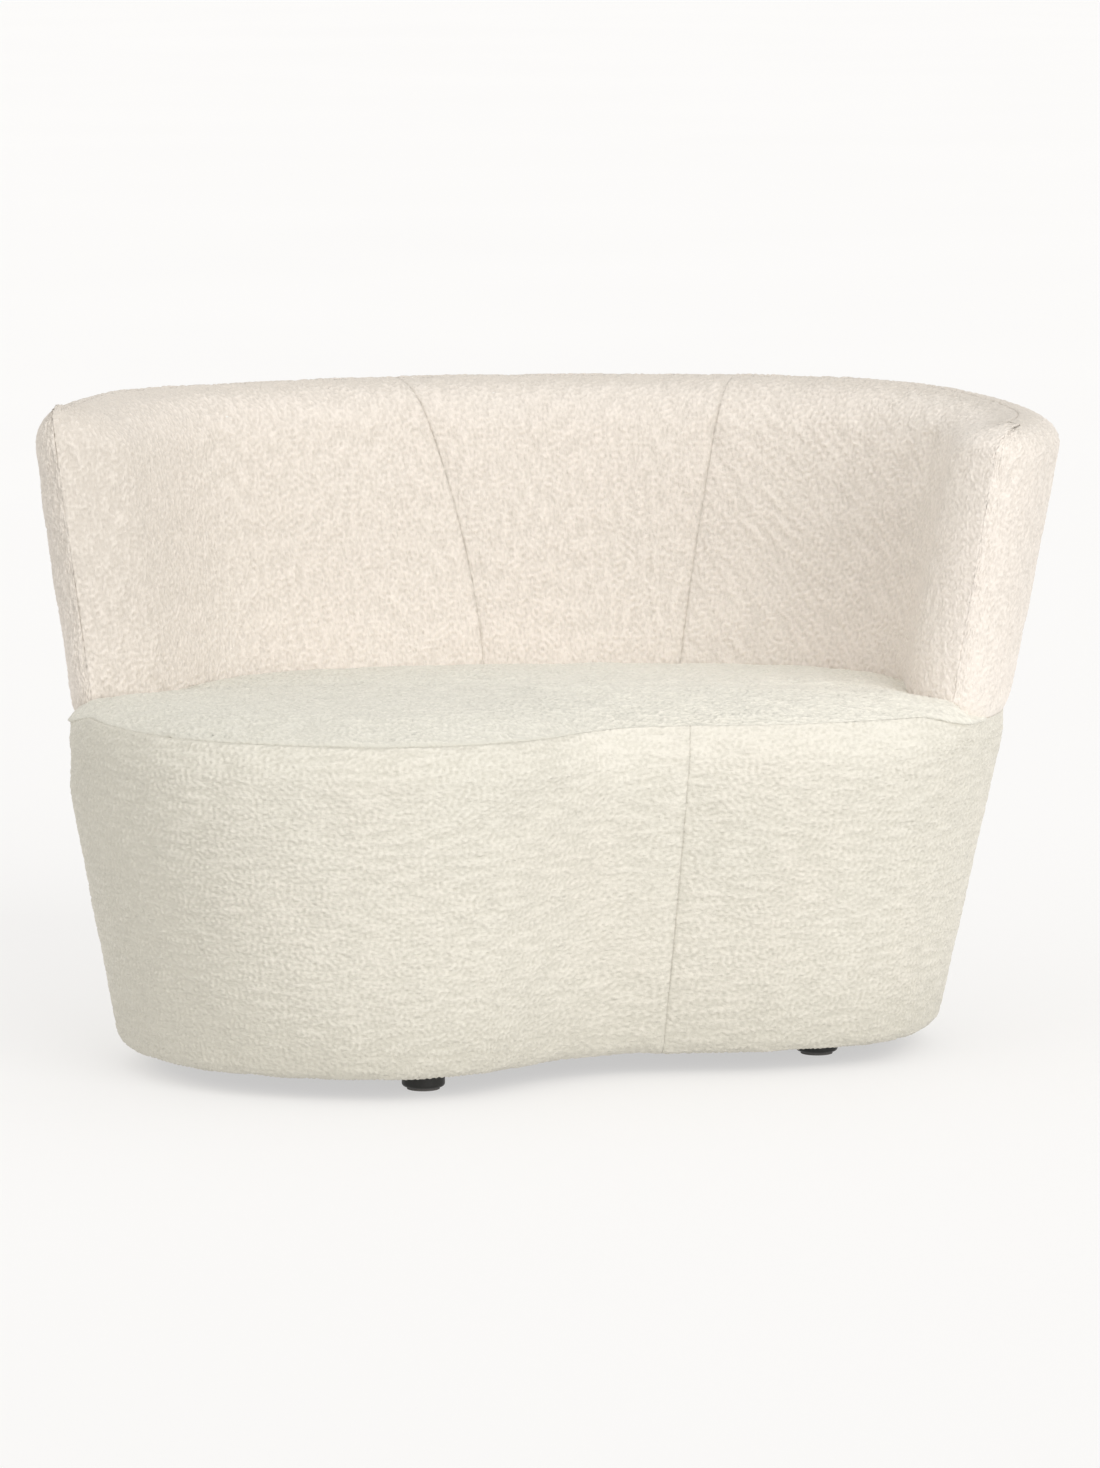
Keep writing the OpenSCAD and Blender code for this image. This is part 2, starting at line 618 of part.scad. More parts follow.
// Foam block that fills the rounded front end of an arm
module arm_end(first, mid) {
    function loop_at(z, e) = let(step = first ? 1 : -1, k0 = first ? 0 : back_cols)
        [for (i = [0:nose_cols - 1]) end_point(first ? -1 : 1, k0 + step*(nose_cols - i), z, e),
         for (i = [0:nose_cols - 1]) end_point(first ? 1 : -1, k0 + step*i, z, e),
         end_point(first ? 1 : -1, k0 + step*nose_cols, z, e)];
    c = plan(mid, wall(mid, rib_z) - half_t + shift(back_skin_d));
    d = plan(mid, wall(mid, roll_z) - half_t + shift(back_skin_d));
    dome([loop_at(rib_z, back_skin_d), loop_at(roll_z, back_skin_d)],
         [loop_at(rib_z, back_skin_d + 2)], [d.x, d.y, roll_z], [c.x, c.y, rib_z]);
}
function end_point(side, k, z, e) =
    let(q = inset(k, e), c = plan(q[0], wall(q[0], z) - q[2] + shift(e) + side*q[1])) [c.x, c.y, z];
module arm_front_right() { color("#e8d9a8") placed() arm_end(true, tip_r + 0.6*nose_len); }
module arm_front_left() { color("#e8d9a8") placed() arm_end(false, tip_l - 0.6*nose_len); }
module wadding(side) {
    color("#f7f5ef") placed() layer(side, 0, back_cols, all_ts, back_wad_d, wadding_t, rib_z);
}
module back_wadding_inner() { wadding(-1); }
module back_wadding_outer() { wadding(1); }
// The sitting side is sewn from three panels, split at these columns
back_seam_right = 13;
back_seam_left = 17;
module back_panel(k0, k1) { placed() layer(-1, k0, k1, all_ts, 0, cover_t, rib_z - clear); }
module back_cover_right() { color("#e3d8c8") back_panel(0, back_seam_right); }
module back_cover_centre() { color("#eadfce") back_panel(back_seam_right, back_seam_left); }
module back_cover_left() { color("#eadfce") back_panel(back_seam_left, back_cols); }
module back_cover_outer() {
    color("#e6ddcd") placed() layer(1, 0, back_cols, all_ts, 0, cover_t, rib_z - clear);
}

// ---- fasteners of the backrest
bolt_low = deck_top - ply_t;
bolt_grip = 14;    // how far the bolts reach into the bottom rib
bolt_head_t = 5.3;
module back_bolts() {
    color("silver") placed() bolt_places() {
        translate([0, 0, bolt_low - flange_t])
            cylinder(d = bolt_d, h = rib_z + bolt_grip - bolt_low + flange_t);
        translate([0, 0, bolt_low - flange_t - bolt_head_t])
            cylinder(d = bolt_head_d, h = bolt_head_t, $fn = 6);
    }
}
module back_washers() {
    color("silver") placed() bolt_places() difference() {
        translate([0, 0, bolt_low - flange_t]) cylinder(d = washer_d, h = flange_t);
        translate([0, 0, bolt_low - 5]) cylinder(d = bolt_d, h = 10);
    }
}
module back_tnuts() {
    color("silver") placed() bolt_places() difference() {
        union() {
            translate([0, 0, rib_z + ply_t - tnut_len]) cylinder(d = tnut_d, h = tnut_len + 0.1);
            translate([0, 0, rib_z + ply_t]) cylinder(d = flange_d, h = flange_t);
        }
        translate([0, 0, rib_z]) cylinder(d = bolt_d, h = 2*ply_t);
    }
}

foot_glides();
foot_front_left();
foot_front_right();
foot_back_left();
foot_back_right();
foot_studs();
foot_tnuts();
dust_cover();
bottom_board();
base_posts();
webbing_ring();
webbing_long();
webbing_cross();
deck_blocks();
deck_ring();
base_skin();
base_padding();
base_cover_front_left();
base_cover_front_right();
base_cover_back();
seat_core();
seat_topper();
seat_wadding();
seat_cover();
back_bottom_rib();
back_mid_rib();
back_top_rib();
back_lower_uprights();
back_upper_uprights();
back_skin_inner();
back_skin_outer();
back_foam_inner();
back_foam_outer();
back_top_roll();
arm_front_right();
arm_front_left();
back_wadding_inner();
back_wadding_outer();
back_cover_left();
back_cover_centre();
back_cover_right();
back_cover_outer();
back_bolts();
back_washers();
back_tnuts();
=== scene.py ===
"""Loveseat with a kidney-shaped seat, a wrap-around backrest and short round black feet.

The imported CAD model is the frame. The visible upholstery is worked out here with numpy: each
cover panel is a grid carried over the same plan outline and wall as the frame, with tucked seams
and a looped pile raised in the mesh. Metres throughout, +Z up, front towards -Y.
"""

import json
import math

import bpy
import numpy as np
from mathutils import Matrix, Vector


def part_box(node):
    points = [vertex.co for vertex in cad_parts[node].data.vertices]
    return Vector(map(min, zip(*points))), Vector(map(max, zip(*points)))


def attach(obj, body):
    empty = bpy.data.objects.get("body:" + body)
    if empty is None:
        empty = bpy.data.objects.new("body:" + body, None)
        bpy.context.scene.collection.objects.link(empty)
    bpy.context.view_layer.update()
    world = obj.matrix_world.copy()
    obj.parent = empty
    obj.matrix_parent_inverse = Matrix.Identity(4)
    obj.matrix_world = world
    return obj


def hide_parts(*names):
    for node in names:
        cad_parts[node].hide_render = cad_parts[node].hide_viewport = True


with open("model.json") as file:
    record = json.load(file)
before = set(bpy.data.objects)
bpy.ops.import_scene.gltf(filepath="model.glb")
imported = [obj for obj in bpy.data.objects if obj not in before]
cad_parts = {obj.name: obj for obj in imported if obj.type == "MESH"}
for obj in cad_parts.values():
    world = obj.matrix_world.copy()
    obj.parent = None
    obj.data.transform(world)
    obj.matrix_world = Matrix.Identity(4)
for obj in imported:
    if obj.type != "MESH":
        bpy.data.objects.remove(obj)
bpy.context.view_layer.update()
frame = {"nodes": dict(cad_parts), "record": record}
MM = 0.001

# ---------------------------------------------------------------- sizes
# The hem, joint and rim heights come from the frame. A size that the part has too repeats its
# value, and the rest belong to the covers alone.
border_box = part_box("base_cover_front_left")
back_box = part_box("back_cover_outer")

HALF_W = 546*MM            # half width and half depth of the base at its widest level
HALF_D = 388*MM
BOTTOM_Z = border_box[0][2]
RIM_Z = back_box[1][2]
WIDEST_Z = 378*MM
JOINT_Z = back_box[0][2]   # joint between base and backrest
SEAT_Z = 437*MM
SEAT_CROWN = 5*MM
SEAT_DROP = 12*MM
SHOULDER_W = 62*MM
SHOULDER_H = SEAT_Z - WIDEST_Z
SEAM_TURN = math.radians(43)
HEM_R = 12*MM
BACK_T = 105*MM
HALF_T = BACK_T/2
TIP_MID = 30*MM
NOSE = 75*MM
ROLL_H = 50*MM
ROLL_Z = RIM_Z - ROLL_H
RIGHT_TIP = 430*MM         # where the arms end, along the outline from its start either way
LEFT_TIP = 885*MM
LEFT_SWELL = 10*MM
SWELL_H = (WIDEST_Z - BOTTOM_Z - HEM_R)/6
RIGHT_DROP = 14*MM
RIGHT_FILL = 16*MM         # extra padding on the arms' inner faces, which only the covers have
LEFT_FILL = 11*MM
SEAT_TUCK = 4*MM           # seen from above, the seat's rear edge lies this far outside the
                           # inner edge of the backrest's foot
SEAT_SUNK = 22*MM          # and this far below the seat's top,
REAR_ROUND = 26*MM         # and it rounds over in this length
COLUMNS = 56               # columns of the frame's outline; the border's seams lie on three
SEAM_COLUMNS = (1, 12, 37)
SLOPE, SLOPE_RIGHT = 10.3, 1.7                # degrees in from plumb below the widest level,
LEAN, LEAN_RIGHT, LEAN_REAR = 9, 1.5, 3.5     # and out above it, then what each side adds
RIGHT_SEAM, LEFT_SEAM = 0.406, 0.572    # inner seams at the seat, as shares from tip to tip
RIGHT_SLANT, LEFT_SLANT = 48*MM, 84*MM  # and how far they lean out by the crest
LIFT = 1.5*MM              # the pile stands this far proud of its backing
PILE_H = 2.2*MM
COVER_T = 3*MM
BACK_STEP = 8              # a cover's inside is this many times coarser than its outside

# Each seam's valley: how far it reaches to a side, and its depth
BORDER_SEAM = (8*MM, 0.8*MM)
SEAT_SEAM = (6*MM, 2.6*MM)
BACK_SEAM = (6*MM, 1.1*MM)
JOINT_BELOW = (45*MM, 3.5*MM)
JOINT_ABOVE = (25*MM, 3.5*MM)
# and how dark its flattened pile draws it
BORDER_LINE, SEAT_LINE, BACK_LINE = 0.5, 2.6, 1.2

# Corners of the plan outline as shares of the half width and half depth
CORNERS = np.array([(0.20, -0.60), (0.56, -0.52), (0.87, -0.30), (1.0, 0.18), (0.93, 0.55),
                    (0.70, 0.84), (0.20, 1.0), (-0.45, 0.86), (-0.84, 0.50), (-1.0, -0.02),
                    (-0.96, -0.44), (-0.74, -0.83), (-0.34, -1.0), (-0.06, -0.90)])


# ---------------------------------------------------------------- camera and light
def aim(obj, target):
    """Turns an object at its place so that its -Z looks at the target."""
    gap = np.array(target) - np.array(obj.location)
    flat = math.hypot(gap[0], gap[1])
    obj.rotation_euler = (math.pi/2 + math.atan2(gap[2], flat), 0, math.atan2(-gap[0], gap[1]))


def make_camera():
    """Long lens, eight degrees above the seat, straight from the front."""
    distance, rise = 8.0, math.radians(8.0)
    target = np.array([0.001, -0.066, 0.385])
    cam = bpy.data.objects.new("camera", bpy.data.cameras.new("camera"))
    bpy.context.scene.collection.objects.link(cam)
    cam.location = target + distance*np.array([0, -math.cos(rise), math.sin(rise)])
    aim(cam, target)
    cam.data.lens = 167.15
    cam.data.sensor_width = 36
    cam.data.clip_end = 200
    bpy.context.scene.camera = cam


def soft_sun(name, azimuth, elevation, strength):
    """A very wide sun: soft shadows, and the same light over the whole floor."""
    light = bpy.data.lights.new(name, "SUN")
    light.energy = strength
    light.angle = math.radians(50)
    obj = bpy.data.objects.new(name, light)
    bpy.context.scene.collection.objects.link(obj)
    a, e = math.radians(azimuth), math.radians(elevation)
    obj.location = (5*math.sin(a)*math.cos(e), -5*math.cos(a)*math.cos(e), 5*math.sin(e))
    aim(obj, (0, 0, 0))


def make_world(horizon, zenith):
    """Even white light, with its own strength at the horizon and overhead."""
    world = bpy.data.worlds.new("studio")
    world.use_nodes = True
    tree = world.node_tree
    place = tree.nodes.new("ShaderNodeTexCoord")
    parts = tree.nodes.new("ShaderNodeSeparateXYZ")
    fade = tree.nodes.new("ShaderNodeMapRange")
    tree.links.new(place.outputs["Generated"], parts.inputs[0])
    tree.links.new(parts.outputs["Z"], fade.inputs["Value"])
    fade.inputs["To Min"].default_value = horizon
    fade.inputs["To Max"].default_value = zenith
    tree.links.new(fade.outputs[0], tree.nodes["Background"].inputs["Strength"])
    tree.nodes["Background"].inputs["Color"].default_value = (1, 0.995, 0.985, 1)
    bpy.context.scene.world = world


make_camera()
bpy.context.scene.view_settings.view_transform = "Standard"
make_world(horizon=0.80, zenith=0.94)
soft_sun("key", azimuth=34, elevation=24, strength=1.32)
soft_sun("fill", azimuth=-48, elevation=14, strength=0.30)


# ---------------------------------------------------------------- shader expressions
class Value:
    """A shader socket that takes part in Python expressions through Math nodes."""

    def __init__(self, look, socket):
        self.look, self.socket = look, socket

    def _math(self, operation, *values):
        return self.look.node("ShaderNodeMath", {"operation": operation},
                              dict(enumerate(values)))

    def __add__(self, other): return self._math("ADD", self, other)
    def __sub__(self, other): return self._math("SUBTRACT", self, other)
    def __mul__(self, other): return self._math("MULTIPLY", self, other)
    def __rsub__(self, other): return self._math("SUBTRACT", other, self)
    __radd__ = __add__
    __rmul__ = __mul__

    def clamp(self): return self.look.node("ShaderNodeClamp", {}, {0: self})


class Look:
    """A material with one Principled shader, and the nodes that feed it."""

    def __init__(self, name, roughness=0.8, metallic=0.0, **constants):
        self.material = bpy.data.materials.new(name)
        self.material.use_nodes = True
        self.tree = self.material.node_tree
        self.shader = self.tree.nodes["Principled BSDF"]
        self.set("Roughness", roughness)
        self.set("Metallic", metallic)
        for socket, value in constants.items():
            self.set(socket.replace("_", " "), value)

    def set(self, socket, value):
        """Puts a constant or a link on one of the shader's sockets."""
        self._feed(self.shader.inputs[socket], value)

    def _feed(self, socket, value):
        if isinstance(value, Value):
            self.tree.links.new(value.socket, socket)
        elif isinstance(value, (tuple, list)) and len(socket.default_value) == 4:
            socket.default_value = (*value[:3], 1)
        else:
            socket.default_value = value

    def node(self, kind, settings, inputs, out=0):
        """Any node: its type, its settings, and what its sockets take."""
        new = self.tree.nodes.new(kind)
        for name, value in settings.items():
            setattr(new, name, value)
        for key, value in inputs.items():
            self._feed(new.inputs[key], value)
        return Value(self, new.outputs[out])

    def place(self):
        """Object coordinates in metres."""
        return self.node("ShaderNodeTexCoord", {}, {}, "Object")

    def stretched(self, scale):
        """Object coordinates with each axis scaled."""
        return self.node("ShaderNodeMapping", {}, {"Vector": self.place(), "Scale": scale})

    def noise(self, scale, detail=2.0, rough=0.5, at=None):
        """Soft noise from 0 to 1."""
        return self.node("ShaderNodeTexNoise", {},
                         {"Vector": at or self.place(), "Scale": scale, "Detail": detail,
                          "Roughness": rough})

    def cells(self, scale, at=None):
        """Distance to the nearest of many scattered points."""
        return self.node("ShaderNodeTexVoronoi", {},
                         {"Vector": at or self.place(), "Scale": scale}, "Distance")

    def attribute(self, name):
        """A field stored on the mesh's points."""
        return self.node("ShaderNodeAttribute", {"attribute_name": name}, {}, "Fac")

    def mix(self, factor, a, b):
        """Colour b over colour a by the factor."""
        return self.node("ShaderNodeMix", {"data_type": "RGBA"}, {0: factor, 6: a, 7: b}, 2)

    def colour(self, value):
        """Puts a colour on the base."""
        self.set("Base Color", value)

    def bump(self, height, strength, distance):
        """Fine relief, distance deep at full strength."""
        self.set("Normal", self.node("ShaderNodeBump", {},
                 {"Height": height, "Strength": strength, "Distance": distance}))


def looped_pile(name, light, shade, streak):
    """Cream looped pile. The paler colour's share grows with the pile's height and the curls,
    which paints shade in the hollows between loops, varies a little in blotches, and shrinks with
    the painted shade and seam lines stored on the mesh (painted light where they are negative);
    the bump is the curls less the distance to scattered points, which sinks the edges between
    round loops."""
    look = Look(name, roughness=0.95, Sheen_Weight=0.25, Sheen_Roughness=0.6,
                Sheen_Tint=(1, 0.98, 0.94), Specular_IOR_Level=0.15)
    depth = look.attribute("pile")
    curl = look.noise(250, 2, 0.6, at=look.stretched(streak))
    blotch = look.noise(9, 3, 0.55)
    # painted shade: darker in the pile's hollows and under the stored painted shade and seam lines,
    # painted light where that field is negative
    amount = (depth*0.6 + curl*1.1 + blotch*0.12 - look.attribute("painted_shade_and_seams")*0.4 - 0.46).clamp()
    rosy = (light[0]*1.01, light[1]*0.975, light[2]*0.97)
    look.colour(look.mix(amount, shade, look.mix(look.noise(6, 2, 0.5), light, rosy)))
    loops = look.cells(230, at=look.stretched(streak))
    look.bump(curl*1.0 - loops*0.6, 0.75, 0.0026)
    return look.material


def grained_wood(name, light, dark, scale, roughness):
    """Long grain in streaks along one axis, with pores."""
    look = Look(name, roughness=roughness)
    streaks = look.noise(scale, 6, 0.6, at=look.stretched((1, 0.08, 1)))
    pores = look.noise(scale*9, 2, 0.7, at=look.stretched((1, 0.05, 1)))
    look.colour(look.mix((streaks*1.4 + pores*0.3 - 0.45).clamp(), dark, light))
    look.bump(pores, 0.2, 0.0004)
    return look.material


def stained_foot(name):
    """Black-stained turned beech: the grain just shows through a satin stain."""
    look = Look(name, roughness=0.42, Specular_IOR_Level=0.4)
    rings = look.noise(55, 5, 0.6, at=look.stretched((1, 1, 0.12)))
    look.colour(look.mix(rings, (0.006, 0.006, 0.005), (0.028, 0.027, 0.024)))
    look.set("Roughness", rings*0.25 + 0.32)
    look.bump(rings, 0.15, 0.0005)
    return look.material


def open_foam(name, light, dark, scale):
    """Foam: pale walls round darker cells."""
    look = Look(name, roughness=0.95)
    cells = look.cells(scale)
    look.colour(look.mix((cells*1.6).clamp(), dark, light))
    look.bump(cells, 0.4, 0.0008)
    return look.material


def fibre(name, light, dark, scale, streak):
    """Matted or woven strands, drawn out by the streak along each axis."""
    look = Look(name, roughness=0.95)
    strands = look.noise(scale, 5, 0.7, at=look.stretched(streak))
    look.colour(look.mix(strands, dark, light))
    look.bump(strands, 0.4, 0.0008)
    return look.material


def zinc(name):
    """Zinc plating, whose spangle changes both colour and roughness."""
    look = Look(name, roughness=0.35, metallic=1.0)
    spangle = look.cells(260)
    look.colour(look.mix((spangle*1.5).clamp(), (0.55, 0.56, 0.55), (0.74, 0.74, 0.70)))
    look.set("Roughness", spangle*0.3 + 0.28)
    return look.material


# ---------------------------------------------------------------- plan outline
def ease(x):
    """Smooth step: 0 below 0, 1 above 1, three squares less two cubes between."""
    t = np.clip(x, 0, 1)
    return t*t*(3 - 2*t)


def mix(a, b, t):
    """From a at 0 to b at 1 in a straight line."""
    return a + (b - a)*t


def hump(x, width):
    """A smooth hump, 1 in its middle: e to the power of minus the square of x over width."""
    return np.exp(-(x/width)**2)


def spline_outline(per_piece=24):
    """Closed centripetal cubic spline through the corners, as points and running lengths."""
    p1 = CORNERS*[HALF_W, HALF_D]
    p0, p2, p3 = np.roll(p1, 1, 0), np.roll(p1, -1, 0), np.roll(p1, -2, 0)
    d0, d1, d2 = (np.sqrt(np.linalg.norm(b - a, axis=1))[:, None]
                  for a, b in ((p0, p1), (p1, p2), (p2, p3)))
    m1 = d1*((p1 - p0)/d0 - (p2 - p0)/(d0 + d1) + (p2 - p1)/d1)
    m2 = d1*((p2 - p1)/d1 - (p3 - p1)/(d1 + d2) + (p3 - p2)/d2)
    t = (np.arange(per_piece)/per_piece)[None, :, None]
    pts = ((2*t**3 - 3*t**2 + 1)*p1[:, None] + (t**3 - 2*t**2 + t)*m1[:, None]
           + (3*t**2 - 2*t**3)*p2[:, None] + (t**3 - t**2)*m2[:, None]).reshape(-1, 2)
    pts = np.vstack([pts, pts[:1]])
    return pts, np.r_[0, np.cumsum(np.linalg.norm(np.diff(pts, axis=0), axis=1))]


line, run = spline_outline()
LOOP = run[-1]
TIP_R = RIGHT_TIP
TIP_L = LOOP - LEFT_TIP
SEAM_FRONT, SEAM_RIGHT, SEAM_LEFT = (LOOP/COLUMNS*column for column in SEAM_COLUMNS)


def at(s):
    """The outline's point at the length s along it, in the frame's place."""
    return np.stack([np.interp(s, run, line[:, i], period=LOOP) for i in (0, 1)], -1) + centring


def outward(s, reach=12*MM):
    """Unit normal of the outline, from the chord over a short reach each way."""
    d = at(s + reach) - at(s - reach)
    return np.stack([d[..., 1], -d[..., 0]], -1)/np.linalg.norm(d, axis=-1, keepdims=True)


def plan(s, off):
    """The outline's point moved outwards by off."""
    return at(s) + np.asarray(off)[..., None]*outward(s)


def lean(s):
    """How far the backrest leans out from plumb, in radians: more at the right and the rear."""
    n = outward(s)
    return np.radians(LEAN + LEAN_RIGHT*n[..., 0] + LEAN_REAR*np.maximum(0, n[..., 1])**2)


def wall(s, z):
    """How far the wall stands out from the outline at the height z: sloping in below the
    widest level, more so on the right, with a swell at the left end, and leaning out above."""
    side = outward(s)[..., 0]
    slope = np.radians(SLOPE + SLOPE_RIGHT*np.maximum(0, side))
    swell = LEFT_SWELL*np.maximum(0, -side)**2*ease((WIDEST_Z - z)/SWELL_H)
    return np.where(z < WIDEST_Z, (z - WIDEST_Z)*np.tan(slope) + swell,
                    (z - WIDEST_Z)*np.tan(lean(s)))


def roll_rise(s):
    """Height of the roll along the top, which falls towards the right arm's tip."""
    return ROLL_H - RIGHT_DROP*(1 - ease((np.mod(s, LOOP) - TIP_R - 220*MM)/(270*MM)))


def settle(s, reach=75*MM):
    """0 in front of the arms, 1 under the backrest."""
    u = np.mod(s, LOOP)
    return ease((u - TIP_R + reach)/reach)*ease((TIP_L + reach - u)/reach)


def foot_depth(s):
    """Depth of the backrest's footprint, measured inwards from the wall."""
    u = np.mod(s, LOOP)
    x = np.clip(np.minimum(u - TIP_R, TIP_L - u)/NOSE, 0, 1)
    return TIP_MID + (BACK_T - TIP_MID)*np.sqrt(1 - (1 - x)**2)


# the frame stands with the middle of its box at the origin; two of its own edges tell where
centring = np.zeros(2)
columns = np.arange(COLUMNS)*LOOP/COLUMNS
rear = slice(*SEAM_COLUMNS[1:])
right_edge = plan(columns, wall(columns, JOINT_Z))[rear, 0].max()
centring = np.array([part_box("base_cover_back")[1][0] - right_edge,
                     border_box[0][1] - at(columns)[:, 1].min()])


# ---------------------------------------------------------------- looped pile
def band_tile(seed, wave_u, wave_v, size=1024):
    """Periodic noise kept in a ring of wave lengths, wave_u by wave_v steps of the tile."""
    rng = np.random.default_rng(seed)
    fu, fv = np.meshgrid(np.fft.fftfreq(size), np.fft.fftfreq(size), indexing="ij")
    ring = np.sqrt((fu*wave_u)**2 + (fv*wave_v)**2)
    field = np.fft.ifft2(np.fft.fft2(rng.standard_normal((size, size)))
                         * np.exp(-((ring - 1)/0.3)**2)).real
    return field/field.std()


def loops(seed, wave_u, wave_v, row_u, row_v):
    """Loops of even height, 0 to 1, with fainter rows of pile brushed one way."""
    nubs = band_tile(seed, wave_u, wave_v)
    rows = band_tile(seed + 1, row_u, row_v)
    return np.clip(0.5 + 0.5*np.tanh(0.9*nubs) + 0.16*rows, 0, 1)


def sample(tile, u, v, step=MM):
    """Value of the tile at u, v in metres, between its points in straight lines."""
    n = tile.shape[0]
    x, y = np.broadcast_arrays(u/step % n, v/step % n)
    i, j = x.astype(int) % n, y.astype(int) % n
    a, b = x - np.floor(x), y - np.floor(y)
    i1, j1 = (i + 1) % n, (j + 1) % n
    return (tile[i, j]*(1 - a)*(1 - b) + tile[i1, j]*a*(1 - b)
            + tile[i, j1]*(1 - a)*b + tile[i1, j1]*a*b)


LOOPS_FLAT = loops(3, 8.0, 6.0, 70.0, 13.0)
LOOPS_UP = loops(5, 6.0, 8.0, 16.0, 40.0)
WAVES = band_tile(7, 12.0, 12.0, 256)


def grid_normals(points):
    """Unit normals of a grid of points: along its columns crossed with up its rows."""
    n = np.cross(np.gradient(points, axis=1), np.gradient(points, axis=0))
    return n/np.maximum(np.linalg.norm(n, axis=-1, keepdims=True), 1e-12)


def groove(gap, width, depth):
    """A seam's valley: a rounded dip that is deepest where the gap to the seam is nothing."""
    return depth*np.clip(1 - gap/width, 0, 1)**2


def seam_line(gap, painted_shade_and_seams):
    """Flattened pile right at a seam, which draws it as a fine darker line."""
    return painted_shade_and_seams*hump(gap, 2.6*MM)


def raised(normals, pile, waves, dip, gap):
    """The step from the smooth cover to its pile: lift, soft unevenness, loops and seam dips.
    The pile is even along a seam, so that two covers meet there edge to edge."""
    fade = np.clip(1 - dip/(2.5*MM), 0.3, 1)*np.clip(gap/(3*MM), 0, 1)
    return normals*(LIFT + (waves*0.4*MM + (pile - 0.6)*PILE_H)*fade - dip)[..., None]


def finer(grid, k):
    """A grid k times as fine, by Catmull-Rom curves along both of its directions."""
    for axis in (0, 1):
        g = np.moveaxis(grid, axis, 0)
        n = len(g) - 1
        t = np.arange(n*k + 1)/k
        i = np.minimum(t.astype(int), n - 1)
        f = (t - i)[:, None, None]
        p0, p1, p2, p3 = (g[np.clip(i + d, 0, n)] for d in (-1, 0, 1, 2))
        g = p1 + f/2*(p2 - p0 + f*(2*p0 - 5*p1 + 4*p2 - p3 + f*(3*(p1 - p2) + p3 - p0)))
        grid = np.moveaxis(g, 0, axis)
    return grid


def stuffed(points, cap, held_rows=(), held_cols=()):
    """How far padding behind a cover swells it between its seams. A coarse copy, held along
    its edges and the rows and columns named, is blown up as cloth by a light pressure; each
    point then moves less and less freely towards the cap."""
    coarse = points[::BACK_STEP, ::BACK_STEP]
    rows, cols = coarse.shape[:2]
    index = np.arange(rows*cols).reshape(rows, cols)
    quads = np.stack([index[:-1, :-1], index[:-1, 1:], index[1:, 1:], index[1:, :-1]], -1)
    mesh = bpy.data.meshes.new("swelling")
    mesh.from_pydata(coarse.reshape(-1, 3).tolist(), [], quads.reshape(-1, 4).tolist())
    cloth = bpy.data.objects.new("swelling", mesh)
    bpy.context.scene.collection.objects.link(cloth)
    edge = np.zeros((rows, cols), dtype=bool)
    edge[[0, -1, *(r//BACK_STEP for r in held_rows)]] = True
    edge[:, [0, -1, *(c//BACK_STEP for c in held_cols)]] = True
    cloth.vertex_groups.new(name="held").add(index[edge].tolist(), 1.0, "REPLACE")
    work = cloth.modifiers.new("cloth", "CLOTH")
    work.settings.quality = 5
    work.settings.vertex_group_mass = "held"
    work.settings.use_pressure = True
    work.settings.uniform_pressure_force = 4
    work.settings.effector_weights.gravity = 0
    work.point_cache.frame_end = 20
    for moment in range(1, 21):
        bpy.context.scene.frame_set(moment)
    shaped = cloth.evaluated_get(bpy.context.evaluated_depsgraph_get()).data
    after = np.empty(rows*cols*3, dtype=np.float32)
    shaped.vertices.foreach_get("co", after)
    move = after.reshape(coarse.shape) - coarse
    bpy.data.objects.remove(cloth)
    bpy.context.scene.frame_set(1)
    far = np.maximum(np.linalg.norm(move, axis=-1, keepdims=True), 1e-9)
    return finer(move/far*cap*np.tanh(far/cap), BACK_STEP)


def count(length, pitch):
    """Points along a length, as a whole number of back steps and one."""
    return BACK_STEP*max(1, int(round(length/pitch/BACK_STEP))) + 1


